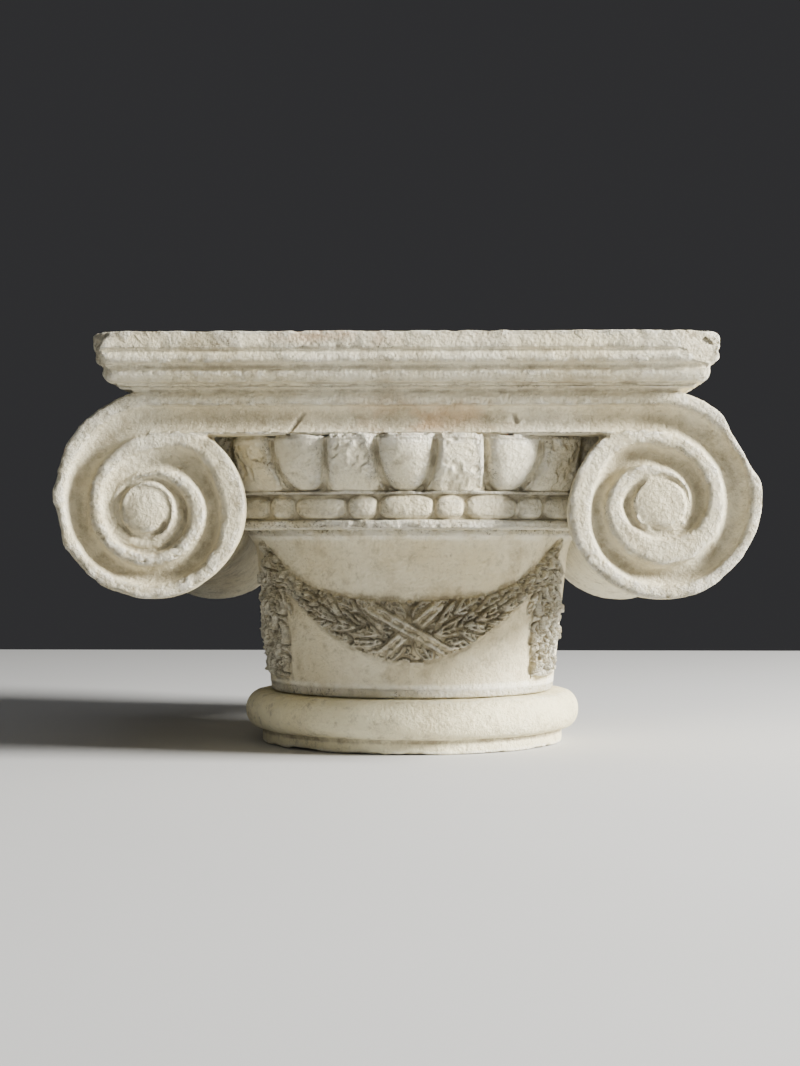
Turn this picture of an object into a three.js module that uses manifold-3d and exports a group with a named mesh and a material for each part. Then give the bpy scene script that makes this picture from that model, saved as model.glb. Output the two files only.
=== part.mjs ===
// Marble ionic capital with a garlanded neck, standing on a turned base moulding.
// Millimetres, +Z up. The front faces -Y, and the origin is the centre of the underside.

import * as THREE from 'three';
import { mergeVertices } from 'three/addons/utils/BufferGeometryUtils.js';
import Module from 'manifold-3d';

const wasm = await Module();
wasm.setup();

// Base moulding: a torus over a low fillet
const BASE_FILLET_RADIUS = 81.5;
const BASE_FILLET_HEIGHT = 7.6;
const TORUS_RADIUS = 91;
const TORUS_HEIGHT = 20.4;
const TORUS_SETBACK = 2;
const BED_JOINT = 0.3;

// Heights of the capital's courses, from the bed joint up
const NECK_HEIGHT = 85.3;
const FILLET_HEIGHT = 4.8;
const ASTRAGAL_HEIGHT = 12.5;
const OVOLO_HEIGHT = 29.1;
const CHANNEL_HEIGHT = 13.4;
const ROLL_HEIGHT = 7.7;
const ABACUS_FASCIA = 9.3;
const ABACUS_UPPER_BEAD = 5.7;
const ABACUS_COVE = 3.3;
const ABACUS_LOWER_BEAD = 5.4;
const ABACUS_GROOVE = 2.7;
const FASCIA_LIP = 0.6;

// Plan sizes
const ABACUS_WIDTH = 297;
const ABACUS_OVERHANG = 10.8;
const ABACUS_GROOVE_DEPTH = 2.5;
const LOWER_BEAD_SETBACK = 4;
const LOWER_BEAD_BULGE = 1.6;
const COVE_SETBACK = 4.6;
const UPPER_BEAD_SETBACK = 2;
const UPPER_BEAD_BULGE = 1.4;
const FACE_DEPTH = 270;
const VOLUTE_SPACING = 244;
const NECK_FOOT_RADIUS = 76.4;
const NECK_HEAD_RADIUS = 84;
const NECK_FLARE = 7;
const NECK_FLARE_HEIGHT = 9;
const FILLET_RADIUS = 130;
const ASTRAGAL_RADIUS = 127;
const OVOLO_FOOT_RADIUS = 130;
const OVOLO_TOP_RADIUS = 141;
const OVOLO_FOOT_LIP = 1.5;
const OVOLO_TOP_LIP = 3;
const OVOLO_BULGE = 1;
const ECHINUS_WIDTH = 196;

// How far a form reaches into the one that carries it
const ROOT = 1;

// Volutes: the outer edge of the spiral fillet at each eighth of a turn, from the outer
// side inwards. The radius at the very top follows from the channel and the roll.
const TURN_STEPS = 8;
const SPIRAL_RADII = [50.6, 47.7, 46.4, 45.6, 45.2, 44.8, 42.4, 33.8, 31.5, 30.5, 30.2, 30, 27.5, 24.3];
const EYE_RADIUS = 12;
const RIM_WIDTH = 6.2;
const WORN_RIM = 5;
const WORN_RIM_TURNS = 0.78;
const WORN_RIM_SPAN_TURNS = 0.13;
const VOLUTE_GROOVE = 4.5;
const GROOVE_FULL_WIDTH = 8;
const GROOVE_TURNS = 1.85;
const INNER_RIM_TURNS = 1.75;
const BACK_VOLUTE_DROP = 8;

// Section of the channel and of the volutes' hollow, as shares of the width and of the
// depth. A depth below zero stands clear of the face.
const GROOVE_SECTION = [[0, -1], [0.11, 0.5], [0.35, 1], [0.65, 1], [0.89, 0.5], [1, -1]];
const GROOVE_CLEARANCE = 1;

// Bolsters: spools between a front and a back volute, with a belt round the middle
const VOLUTE_PLATE = 17;
const BOLSTER_WAIST_RATIO = 0.72;
const BOLSTER_CURVE_RATIO = 2.2;
const BOLSTER_ARC_TURNS = 0.875;
const BELT_WIDTH = 26;
const BELT_RATIO = 0.05;

// Egg-and-dart and bead-and-reel courses, on the arc between the volutes
const EGG_COUNT = 3;
const EGG_PITCH_ANGLE = 22;
const EGG_WIDTH = 27;
const EGG_GAP = 2.2;
const EGG_RELIEF = 5;
const EGG_HOLLOW_DEPTH = 4.2;
const EGG_SINK = 1.2;
const EGG_FOOT_GAP = 2.5;
const DART_WIDTH = 5;
const DART_POINT_WIDTH = 1.5;
const DART_GAP = 3;
const LONG_BEAD_COUNT = 5;
const BEAD_PITCH_ANGLE = 18.6;
const LONG_BEAD = 26;
const SHORT_BEAD = 12.6;
const BEAD_RELIEF = 7;

// Garlands: a swag between two drops on the front of the neck, and plainer ones behind
const SWAG_HALF_ANGLE = 62;
const SWAG_HANG = 62.5;
const SWAG_TIE = 102;
const SWAG_WIDTH = 32;
const SWAG_END_WIDTH = 8;
const SWAG_TAPER_ANGLE = 33;
const SWAG_TAPER_RATIO = 2.4;
const SWAG_RELIEF = 9;
const DROP_ANGLE = 62;
const DROP_WIDTH = 30;
const DROP_RELIEF = 6.5;
const DROP_FOOT = 9;
const DROP_HEAD = 68;
const LEAF_LENGTH = 17;
const LEAF_WIDTH = 10;
const LEAF_RISE = 3.2;
const LEAF_SPLAY_ANGLE = 26;
const SWAG_LEAF_COUNT = 5;
const SWAG_LEAF_MARGIN_ANGLE = 7;
const DROP_LEAF_COUNT = 4;
const DROP_LEAF_OFFSET_ANGLE = 4;
const BAND_SINK = 3;

// Facets
const ROUND_SIDES = 32;
const SPIRAL_STEPS = 11;
const SMALL_SIDES = 8;
const BALL_TIERS = 6;
const BEAD_TIERS = 4;
const SWELL_STEPS = 4;
const OVOLO_STEPS = 3;
const TORUS_STEPS = 6;
const SWAG_STEPS = 16;
const DROP_STEPS = 7;

// Levels that follow from the courses
const bedZ = BASE_FILLET_HEIGHT + TORUS_HEIGHT;
const neckZ = bedZ + BED_JOINT;
const soffitZ = neckZ + NECK_HEIGHT;
const astragalZ = soffitZ + FILLET_HEIGHT;
const ovoloZ = astragalZ + ASTRAGAL_HEIGHT;
const channelZ = ovoloZ + OVOLO_HEIGHT;
const rollZ = channelZ + CHANNEL_HEIGHT;
const abacusZ = rollZ + ROLL_HEIGHT;
const abacusHeight = ABACUS_GROOVE + ABACUS_LOWER_BEAD + ABACUS_COVE + ABACUS_UPPER_BEAD + ABACUS_FASCIA;
const spiralRadii = [SPIRAL_RADII[TURN_STEPS - 1] + CHANNEL_HEIGHT + ROLL_HEIGHT, ...SPIRAL_RADII];
const voluteZ = channelZ - SPIRAL_RADII[TURN_STEPS - 1];
const faceY = FACE_DEPTH / 2;
const voluteX = VOLUTE_SPACING / 2;
const ovoloLean = Math.atan2(OVOLO_TOP_RADIUS - OVOLO_FOOT_RADIUS, OVOLO_HEIGHT);
const ovoloSlope = Math.hypot(OVOLO_TOP_RADIUS - OVOLO_FOOT_RADIUS, OVOLO_HEIGHT);
const radians = THREE.MathUtils.degToRad;
const lerp = THREE.MathUtils.lerp;

const marble = new THREE.MeshStandardMaterial({ color: '#cfc6b4', roughness: 0.82, metalness: 0 });
const creamMarble = new THREE.MeshStandardMaterial({ color: '#d8ccb0', roughness: 0.62, metalness: 0 });

// Turns any closed geometry into a solid, with its faces pointing out.
function solidOf(geometry) {
  geometry.deleteAttribute('normal');
  geometry.deleteAttribute('uv');
  const merged = mergeVertices(geometry, 1e-4);
  const points = merged.getAttribute('position').array;
  const corners = merged.index.array;
  const kept = [];
  let volume = 0;
  for (let i = 0; i < corners.length; i += 3) {
    const [a, b, c] = [corners[i], corners[i + 1], corners[i + 2]];
    if (a === b || b === c || c === a) continue;
    kept.push(a, b, c);
    const [p, q, r] = [a, b, c].map((k) => new THREE.Vector3().fromArray(points, 3 * k));
    volume += p.dot(q.cross(r));
  }
  if (volume < 0) kept.reverse();
  const mesh = new wasm.Mesh({
    numProp: 3,
    vertProperties: Float32Array.from(points),
    triVerts: Uint32Array.from(kept),
  });
  return new wasm.Manifold(mesh);
}

// Turns a solid back into a named mesh.
function meshOf(name, solid, material) {
  const { vertProperties, triVerts } = solid.getMesh();
  const geometry = new THREE.BufferGeometry();
  geometry.setAttribute('position', new THREE.BufferAttribute(vertProperties, 3));
  geometry.setIndex(new THREE.BufferAttribute(triVerts, 1));
  geometry.computeVertexNormals();
  const mesh = new THREE.Mesh(geometry, material);
  mesh.name = name;
  return mesh;
}

// A closed skin through rings of points, capped from the middle of the first and last ring.
function loft(rings) {
  const count = rings[0].length;
  const middle = (ring) => ring.reduce((sum, p) => sum.add(p), new THREE.Vector3()).divideScalar(count);
  const points = [...rings.flat(), middle(rings[0]), middle(rings[rings.length - 1])];
  const last = (rings.length - 1) * count;
  const index = [];
  for (let k = 0; k < count; k++) {
    const next = (k + 1) % count;
    for (let start = 0; start < last; start += count) {
      index.push(start + k, start + next, start + count + next);
      index.push(start + k, start + count + next, start + count + k);
    }
    index.push(points.length - 2, next, k);
    index.push(points.length - 1, last + k, last + next);
  }
  const geometry = new THREE.BufferGeometry().setFromPoints(points);
  geometry.setIndex(index);
  return geometry;
}

// A turned form from its profile of [radius, height] pairs.
function turned(profile, sides = ROUND_SIDES, start = 0) {
  const points = profile.map(([radius, height]) => new THREE.Vector2(radius, height));
  return new THREE.LatheGeometry(points, sides, start).rotateX(Math.PI / 2);
}

// An arc of [radius, height] pairs that swells by a bulge between two corners.
function swelling(from, to, bulge, steps = SWELL_STEPS) {
  const along = new THREE.Vector2(to[0] - from[0], to[1] - from[1]);
  const out = new THREE.Vector2(along.y, -along.x).normalize().multiplyScalar(bulge);
  const pairs = [];
  for (let k = 0; k <= steps; k++) {
    const t = k / steps;
    const rise = Math.sqrt(Math.max(0, 1 - (2 * t - 1) ** 2));
    pairs.push([from[0] + along.x * t + out.x * rise, from[1] + along.y * t + out.y * rise]);
  }
  return pairs;
}

function box(width, depth, height, z) {
  return new THREE.BoxGeometry(width, depth, height).translate(0, 0, z + height / 2);
}

// An egg, bead or leaf: a ball stretched to its three half sizes.
function ball(halfX, halfY, halfZ, tiers) {
  return new THREE.SphereGeometry(1, SMALL_SIDES, tiers).rotateX(Math.PI / 2).scale(halfX, halfY, halfZ);
}

function joined(geometries) {
  return wasm.Manifold.union(geometries.map(solidOf));
}

function turnedBack(solid) {
  return solid.rotate([0, 0, 180]);
}

// The square block under the load, with its moulded edge mitred at the corners.
function abacus() {
  const top = ABACUS_WIDTH / 2;
  const foot = top - ABACUS_OVERHANG;
  const lowerBeadZ = abacusZ + ABACUS_GROOVE;
  const coveZ = lowerBeadZ + ABACUS_LOWER_BEAD;
  const upperBeadZ = coveZ + ABACUS_COVE;
  const fasciaZ = upperBeadZ + ABACUS_UPPER_BEAD;
  const profile = [
    [0, abacusZ],
    [foot, abacusZ],
    [foot, lowerBeadZ],
    ...swelling([foot + ABACUS_GROOVE_DEPTH, lowerBeadZ], [top - LOWER_BEAD_SETBACK, coveZ], LOWER_BEAD_BULGE),
    [top - COVE_SETBACK, coveZ + ABACUS_COVE / 2],
    ...swelling([top - UPPER_BEAD_SETBACK, upperBeadZ], [top - UPPER_BEAD_SETBACK, fasciaZ], UPPER_BEAD_BULGE),
    [top, fasciaZ + FASCIA_LIP],
    [top, abacusZ + abacusHeight],
    [0, abacusZ + abacusHeight],
  ];
  const square = profile.map(([half, z]) => [half * Math.SQRT2, z]);
  return turned(square, 4, Math.PI / 4);
}

// The band under the abacus that carries the channel from volute to volute.
function canalis() {
  return box(VOLUTE_SPACING, FACE_DEPTH, CHANNEL_HEIGHT + ROLL_HEIGHT + ROOT, channelZ);
}

// Outer radius of the spiral fillet, counted in turns from the top.
function spiralRadius(turns) {
  const place = Math.min(turns * TURN_STEPS, spiralRadii.length - 1);
  const k = Math.min(Math.floor(place), spiralRadii.length - 2);
  return lerp(spiralRadii[k], spiralRadii[k + 1], place - k);
}

// Width of the fillet, which starts as the roll and is worn flat on the inner side.
function rimWidth(turns) {
  const plain = lerp(ROLL_HEIGHT, RIM_WIDTH, Math.min(1, turns * 4));
  const off = (turns - WORN_RIM_TURNS) / WORN_RIM_SPAN_TURNS;
  return plain + WORN_RIM * Math.exp(-(off ** 2));
}

function voluteCentreZ(y) {
  return voluteZ - BACK_VOLUTE_DROP * (y / FACE_DEPTH + 0.5);
}

// A point of a volute: side is -1 at the left and 1 at the right.
function volutePoint(side, turns, radius, y) {
  const angle = turns * 2 * Math.PI;
  const x = side * (voluteX + radius * Math.sin(angle));
  return new THREE.Vector3(x, y, voluteCentreZ(y) + radius * Math.cos(angle));
}

// How far the spool draws in at a distance from the middle of the capital.
function bolsterScale(y) {
  const away = Math.abs(y);
  if (away < BELT_WIDTH / 2) return BOLSTER_WAIST_RATIO + BELT_RATIO;
  const reach = faceY - VOLUTE_PLATE;
  const share = Math.min(1, (away - BELT_WIDTH / 2) / (reach - BELT_WIDTH / 2));
  return lerp(BOLSTER_WAIST_RATIO, 1, share ** BOLSTER_CURVE_RATIO);
}

function bolster(side) {
  const inner = faceY - VOLUTE_PLATE;
  const belt = BELT_WIDTH / 2;
  const half = [belt - 0.01, belt, inner * 0.4, inner * 0.65, inner * 0.85, inner, faceY];
  const stations = [...half.slice().reverse().map((y) => -y), ...half];
  const steps = Math.round(SPIRAL_STEPS * 1.5);
  const rings = stations.map((y) => {
    const ring = [];
    for (let k = 0; k <= steps; k++) {
      const turns = (BOLSTER_ARC_TURNS * k) / steps;
      ring.push(volutePoint(side, turns, spiralRadius(turns) * bolsterScale(y), y));
    }
    return ring;
  });
  return loft(rings);
}

// How far back a point of the groove's section lies, on the front (-1) or the back (1).
function grooveY(face, depth, deepest) {
  return face * (faceY - (depth > 0 ? depth * deepest : -GROOVE_CLEARANCE));
}

// The hollow that runs between the turns of one volute, to be cut from its face.
function voluteGroove(side, face) {
  const start = -0.02;
  const count = Math.round(SPIRAL_STEPS * GROOVE_TURNS);
  const rings = [];
  for (let k = 0; k <= count; k++) {
    const turns = lerp(start, GROOVE_TURNS, k / count);
    const outer = spiralRadius(Math.max(0, turns)) - rimWidth(Math.max(0, turns));
    const next = turns + 1 < INNER_RIM_TURNS ? spiralRadius(turns + 1) : 0;
    const inner = Math.min(outer - 1, Math.max(next, EYE_RADIUS));
    const deep = VOLUTE_GROOVE * Math.min(1, (outer - inner) / GROOVE_FULL_WIDTH);
    rings.push(GROOVE_SECTION.map(([share, depth]) => {
      const point = volutePoint(side, turns, lerp(outer, inner, share), face * faceY);
      return point.setY(grooveY(face, depth, deep));
    }));
  }
  return loft(rings);
}

// The hollow of the channel between the two volutes of one face.
function channelGroove(face) {
  const rings = [-voluteX, voluteX].map((x) => GROOVE_SECTION.map(([share, depth]) => (
    new THREE.Vector3(x, grooveY(face, depth, VOLUTE_GROOVE), lerp(rollZ, channelZ, share))
  )));
  return loft(rings);
}

// The neck, a little wider at its head, and flared under the soffit.
function neck() {
  const flareZ = soffitZ - NECK_FLARE_HEIGHT;
  return turned([
    [0, neckZ],
    [NECK_FOOT_RADIUS, neckZ],
    [NECK_HEAD_RADIUS, flareZ],
    [NECK_HEAD_RADIUS + NECK_FLARE * 0.3, flareZ + NECK_FLARE_HEIGHT * 0.6],
    [NECK_HEAD_RADIUS + NECK_FLARE, soffitZ],
    [NECK_HEAD_RADIUS + NECK_FLARE, soffitZ + FILLET_HEIGHT],
    [0, soffitZ + FILLET_HEIGHT],
  ]);
}

function neckRadius(z) {
  const flareZ = soffitZ - NECK_FLARE_HEIGHT;
  return lerp(NECK_FOOT_RADIUS, NECK_HEAD_RADIUS, Math.min(1, (z - neckZ) / (flareZ - neckZ)));
}

// Fillet, astragal and ovolo, turned round the axis and kept between the volutes.
function echinusCore() {
  const ovoloFoot = [OVOLO_FOOT_RADIUS, ovoloZ + OVOLO_FOOT_LIP];
  const ovoloTop = [OVOLO_TOP_RADIUS, channelZ - OVOLO_TOP_LIP];
  const round = solidOf(turned([
    [0, soffitZ],
    [FILLET_RADIUS, soffitZ],
    [FILLET_RADIUS, astragalZ],
    [ASTRAGAL_RADIUS, astragalZ],
    [ASTRAGAL_RADIUS, ovoloZ],
    [OVOLO_FOOT_RADIUS, ovoloZ],
    ...swelling(ovoloFoot, ovoloTop, OVOLO_BULGE, OVOLO_STEPS),
    [OVOLO_TOP_RADIUS, channelZ],
    [0, channelZ],
  ]));
  const band = solidOf(box(ECHINUS_WIDTH, 2 * ABACUS_WIDTH, channelZ - soffitZ, soffitZ));
  return round.intersect(band);
}

// Places a form made on the front of the axis at an angle round it.
function placed(geometry, radius, z, degrees) {
  return geometry.translate(0, -radius, z).rotateZ(radians(degrees));
}

// Angles of a row of copies round the axis, evenly about the middle of the front.
function places(pitch, count) {
  const angles = [];
  for (let k = 0; k < count; k++) angles.push(pitch * (k - (count - 1) / 2));
  return angles;
}

// An egg, rooted in the ovolo, or the wider and shallower hollow that is cut round it.
function egg(degrees, gap, depth) {
  const form = ball(EGG_WIDTH / 2 + gap, depth, ovoloSlope - EGG_FOOT_GAP - EGG_GAP + gap, BALL_TIERS);
  form.rotateX(ovoloLean);
  return placed(form, OVOLO_TOP_RADIUS - EGG_SINK, channelZ, degrees);
}

function dart(degrees) {
  const form = new THREE.CylinderGeometry(DART_WIDTH / 2, DART_POINT_WIDTH / 2, ovoloSlope - DART_GAP, 4);
  form.rotateX(Math.PI / 2 + ovoloLean);
  return placed(form, (OVOLO_FOOT_RADIUS + OVOLO_TOP_RADIUS) / 2, channelZ - OVOLO_HEIGHT / 2, degrees);
}

function bead(width, degrees) {
  const form = ball(width / 2, BEAD_RELIEF, ASTRAGAL_HEIGHT / 2, BEAD_TIERS);
  return placed(form, ASTRAGAL_RADIUS, astragalZ + ASTRAGAL_HEIGHT / 2, degrees);
}

// The fillet, beads, eggs and darts, on the front and again on the back.
function echinus() {
  const core = echinusCore();
  const band = solidOf(box(ECHINUS_WIDTH, 2 * ABACUS_WIDTH, OVOLO_HEIGHT, ovoloZ));
  const eggPlaces = places(EGG_PITCH_ANGLE, EGG_COUNT);
  const hollows = joined(eggPlaces.map((angle) => egg(angle, EGG_GAP, EGG_HOLLOW_DEPTH)));
  const eggs = joined(eggPlaces.map((angle) => egg(angle, 0, EGG_RELIEF)));
  const darts = joined(places(EGG_PITCH_ANGLE, EGG_COUNT + 1).map((angle) => dart(angle)));
  const beads = joined([
    ...places(BEAD_PITCH_ANGLE, LONG_BEAD_COUNT).map((angle) => bead(LONG_BEAD, angle)),
    ...places(BEAD_PITCH_ANGLE, LONG_BEAD_COUNT - 1).map((angle) => bead(SHORT_BEAD, angle)),
  ]);
  const back = (solid) => solid.add(turnedBack(solid));
  return core
    .subtract(back(hollows.intersect(band)))
    .add(back(eggs.intersect(band)))
    .add(back(darts.intersect(band)))
    .add(back(beads));
}

// Height of the middle of the swag at an angle from the front, along its hanging curve.
function swagZ(degrees) {
  return lerp(SWAG_HANG, SWAG_TIE, (degrees / SWAG_HALF_ANGLE) ** 2);
}

function swagWidth(degrees) {
  const fade = Math.exp(-((Math.abs(degrees) / SWAG_TAPER_ANGLE) ** SWAG_TAPER_RATIO));
  return lerp(SWAG_END_WIDTH, SWAG_WIDTH, fade);
}

// A point of the neck's surface, raised by a relief.
function onNeck(degrees, z, relief) {
  const radius = neckRadius(z) + relief;
  return new THREE.Vector3(radius * Math.sin(radians(degrees)), -radius * Math.cos(radians(degrees)), z);
}

// A raised band along the neck, round in section: centre gives its angle and height.
function raisedBand(steps, sides, centre, halfWidth, relief) {
  const rings = [];
  for (let k = 0; k <= steps; k++) {
    const share = k / steps;
    const [degrees, z] = centre(share);
    const [ahead, aheadZ] = centre(share + 0.01);
    const across = Math.atan2(aheadZ - z, radians(ahead - degrees) * neckRadius(z)) + Math.PI / 2;
    const ring = [];
    for (let j = 0; j < sides; j++) {
      const around = (2 * Math.PI * j) / sides;
      const off = halfWidth(share) * Math.cos(around);
      const turnDegrees = THREE.MathUtils.radToDeg((off * Math.cos(across)) / neckRadius(z));
      const high = relief(share) * Math.sin(around);
      ring.push(onNeck(degrees + turnDegrees, z + off * Math.sin(across), Math.max(-BAND_SINK, high)));
    }
    rings.push(ring);
  }
  return loft(rings);
}

function swag() {
  const angle = (share) => lerp(-SWAG_HALF_ANGLE, SWAG_HALF_ANGLE, share);
  return raisedBand(
    SWAG_STEPS,
    SMALL_SIDES,
    (share) => [angle(share), swagZ(angle(share))],
    (share) => 0.46 * swagWidth(angle(share)),
    (share) => SWAG_RELIEF * (0.45 + 0.4 * Math.sin(Math.PI * share)),
  );
}

// A leaf lying on the neck: it points along a slope and its ridge stands up.
function leaf(degrees, z, slope, relief) {
  const point = (along, across, rise) => {
    const right = along * Math.cos(slope) - across * Math.sin(slope);
    const up = along * Math.sin(slope) + across * Math.cos(slope);
    const turn = THREE.MathUtils.radToDeg(right / neckRadius(z));
    return onNeck(degrees + turn, z + up, relief + rise);
  };
  const form = new THREE.OctahedronGeometry(1);
  const corners = form.getAttribute('position');
  for (let k = 0; k < corners.count; k++) {
    const along = corners.getX(k) * LEAF_LENGTH / 2;
    const across = corners.getY(k) * LEAF_WIDTH / 2;
    const rise = corners.getZ(k) * LEAF_RISE;
    corners.setXYZ(k, ...point(along, across, rise));
  }
  return form;
}

// Rows of leaves that lap along the swag from its two ties to the middle. The outer rows
// splay from the middle one and lie lower.
function swagLeaves() {
  const leaves = [];
  for (const hand of [-1, 1]) {
    for (let k = 0; k < SWAG_LEAF_COUNT; k++) {
      const share = k / (SWAG_LEAF_COUNT - 1);
      const degrees = lerp(SWAG_HALF_ANGLE - SWAG_LEAF_MARGIN_ANGLE, SWAG_LEAF_MARGIN_ANGLE, share);
      const z = swagZ(degrees);
      const slope = Math.atan((swagZ(degrees + 1) - z) / (radians(1) * neckRadius(z)));
      const fullness = 1 - 0.4 * (degrees / SWAG_HALF_ANGLE);
      for (const row of [-1, 0, 1]) {
        const off = row * 0.3 * swagWidth(degrees);
        const aside = THREE.MathUtils.radToDeg((off * Math.sin(slope)) / NECK_HEAD_RADIUS);
        const lean = slope - row * radians(LEAF_SPLAY_ANGLE);
        const relief = SWAG_RELIEF * fullness * (row === 0 ? 0.72 : 0.4);
        const heading = hand > 0 ? Math.PI + lean : -lean;
        leaves.push(leaf(hand * (degrees + aside), z - off * Math.cos(slope), heading, relief));
      }
    }
  }
  return leaves;
}

// A hanging cluster, from the swag's tie down to a blunt foot.
function dropBody(hand) {
  const foot = neckZ + DROP_FOOT;
  const head = neckZ + DROP_HEAD;
  const full = (share) => 0.3 + 0.7 * Math.sin(Math.PI * Math.min(1, 0.22 + share * 0.7));
  return raisedBand(
    DROP_STEPS,
    SMALL_SIDES,
    (share) => [hand * DROP_ANGLE, lerp(foot, head, share)],
    (share) => 0.5 * DROP_WIDTH * full(share),
    (share) => 0.7 * DROP_RELIEF * full(share),
  );
}

// The cluster's leaves, in pairs that point down and outwards.
function dropLeaves(hand) {
  const foot = neckZ + DROP_FOOT + LEAF_LENGTH / 2;
  const head = neckZ + DROP_HEAD - LEAF_LENGTH / 2;
  const leaves = [];
  for (let k = 0; k < DROP_LEAF_COUNT; k++) {
    const z = lerp(foot, head, k / (DROP_LEAF_COUNT - 1));
    for (const side of [-1, 1]) {
      const degrees = hand * DROP_ANGLE + side * DROP_LEAF_OFFSET_ANGLE;
      const heading = side * radians(LEAF_SPLAY_ANGLE) - Math.PI / 2;
      leaves.push(leaf(degrees, z, heading, 0.55 * DROP_RELIEF));
    }
  }
  return leaves;
}

// The garlands of the front, leafy, and of the back, left plain.
function garlands() {
  const plain = joined([swag(), dropBody(-1), dropBody(1)]);
  const leaves = joined([...swagLeaves(), ...dropLeaves(-1), ...dropLeaves(1)]);
  return plain.add(leaves).add(turnedBack(plain));
}

function capital() {
  const grooves = [];
  for (const face of [-1, 1]) {
    grooves.push(channelGroove(face));
    for (const side of [-1, 1]) grooves.push(voluteGroove(side, face));
  }
  const carved = joined([abacus(), canalis(), bolster(-1), bolster(1), neck()])
    .subtract(joined(grooves))
    .add(echinus())
    .add(garlands());
  return meshOf('capital', carved, marble);
}

function baseMoulding() {
  const torusFoot = [BASE_FILLET_RADIUS + TORUS_SETBACK, BASE_FILLET_HEIGHT];
  const torusTop = [BASE_FILLET_RADIUS, bedZ];
  const profile = [
    [0, 0],
    [BASE_FILLET_RADIUS, 0],
    [BASE_FILLET_RADIUS, BASE_FILLET_HEIGHT],
    ...swelling(torusFoot, torusTop, TORUS_RADIUS - BASE_FILLET_RADIUS - TORUS_SETBACK / 2, TORUS_STEPS),
    [0, bedZ],
  ];
  return meshOf('base_moulding', solidOf(turned(profile)), creamMarble);
}

const model = new THREE.Group();
model.add(baseMoulding());
model.add(capital());

export default model;
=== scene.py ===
import math

import bmesh
import bpy
import numpy as np
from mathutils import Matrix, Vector


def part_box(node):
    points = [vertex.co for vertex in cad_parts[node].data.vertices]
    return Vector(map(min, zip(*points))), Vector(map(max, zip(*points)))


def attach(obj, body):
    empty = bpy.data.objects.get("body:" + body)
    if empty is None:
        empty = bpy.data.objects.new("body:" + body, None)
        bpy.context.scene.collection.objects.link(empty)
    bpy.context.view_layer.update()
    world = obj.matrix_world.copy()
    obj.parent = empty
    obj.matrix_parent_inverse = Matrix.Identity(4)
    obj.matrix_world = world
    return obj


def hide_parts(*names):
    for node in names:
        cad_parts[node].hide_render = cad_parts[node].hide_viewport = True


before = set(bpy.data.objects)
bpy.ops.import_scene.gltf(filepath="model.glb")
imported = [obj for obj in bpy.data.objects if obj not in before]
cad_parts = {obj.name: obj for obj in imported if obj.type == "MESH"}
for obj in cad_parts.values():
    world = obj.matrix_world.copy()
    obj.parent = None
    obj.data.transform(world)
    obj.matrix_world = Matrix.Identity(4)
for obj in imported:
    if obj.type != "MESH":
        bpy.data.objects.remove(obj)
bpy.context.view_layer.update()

# Carving is worked out in millimetres and turned into metres when a mesh is made.
MM = 0.001
low, high = [np.array(corner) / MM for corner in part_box("capital")]
base_low, base_high = [np.array(corner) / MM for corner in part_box("base_moulding")]

# Courses of the capital, measured down from the top of the abacus and up from the bed
TOP = high[2]
BED = low[2]
BASE_TOP = base_high[2]
ABACUS_HALF = high[1]
ABACUS_HEIGHT = 26.4
ABACUS_COURSES = (0, 2.7, 5.4, 3.3, 5.7)
ROLL_HEIGHT = 7.7
CHANNEL_HEIGHT = 13.4
OVOLO_HEIGHT = 29.1
ASTRAGAL_HEIGHT = 12.5
FILLET_HEIGHT = 4.8
ABACUS_FOOT = TOP - ABACUS_HEIGHT
ROLL_FOOT = ABACUS_FOOT - ROLL_HEIGHT
CHANNEL_FOOT = ROLL_FOOT - CHANNEL_HEIGHT
OVOLO_FOOT = CHANNEL_FOOT - OVOLO_HEIGHT
ASTRAGAL_FOOT = OVOLO_FOOT - ASTRAGAL_HEIGHT
SOFFIT = ASTRAGAL_FOOT - FILLET_HEIGHT

# Plan
ABACUS_OVERHANG = 10.8
FACE = 135.0
VOLUTE_X = 122.0
FILLET_RADIUS = 130.0
ASTRAGAL_RADIUS = 127.0
OVOLO_FOOT_RADIUS = 130.0
OVOLO_TOP_RADIUS = 141.0
NECK_FOOT_RADIUS = 76.4
NECK_HEAD_RADIUS = 84.0
NECK_FLARE = 5.5
NECK_FLARE_HEIGHT = 15.0
DRUM_HALF_WIDTH = 96.0
BASE_FILLET_RADIUS = 81.5
BASE_FILLET_HEIGHT = 7.6
TORUS_RADIUS = 91.0

# Volutes and bolsters. The spiral's outer radius is given every eighth of a turn, from the top outwards
SPIRAL_RADII = [54.9, 50.6, 47.7, 46.4, 45.6, 45.2, 44.8, 42.4, 33.8, 31, 29.4, 29.2, 29,
                27.8, 27, 23, 17.4, 15, 13.5]
RIM_WIDTH = 6.2
WORN_RIM = 5.0
GROOVE_DEPTH = 6.0
BACK_VOLUTE_DROP = 8.0
VOLUTE_PLATE = 17.0
BOLSTER_WAIST = 0.72
BELT_HALF = 13.0
BELT_RISE = 0.05

# Egg-and-dart, bead-and-reel. The pitches are in degrees round the axis
EGG_PITCH = 22.0
EGG_HALF = 13.5
EGG_DROP = 27.5
BEAD_PITCH = 18.6
LONG_BEAD = 14.2
SHORT_BEAD = 7.9
BEAD_RELIEF = 3.9

# Garlands. Their hang and tie are heights over the table, their relief stands off the neck
SWAG_HALF_ANGLE = 62.0
SWAG_HANG = 62.5
SWAG_TIE = 102.0
SWAG_WIDTH = 32.0
SWAG_END_WIDTH = 8.0
SWAG_TAPER_ANGLE = 33.0
SWAG_RELIEF = 7.5
DROP_ANGLE = 62.0
DROP_WIDTH = 30.0
DROP_RELIEF = 6.0
DROP_FOOT = BED + 8.5
DROP_HEAD = BED + 70
GARLAND_RADIUS = 82.0

# Mesh fineness
VOXEL = 0.9
COARSER = 1
GRID_STEP = 0.58
BASE_STEP = 1.2
BLOCK_TRIANGLES = 190000
SEED = 7

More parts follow.
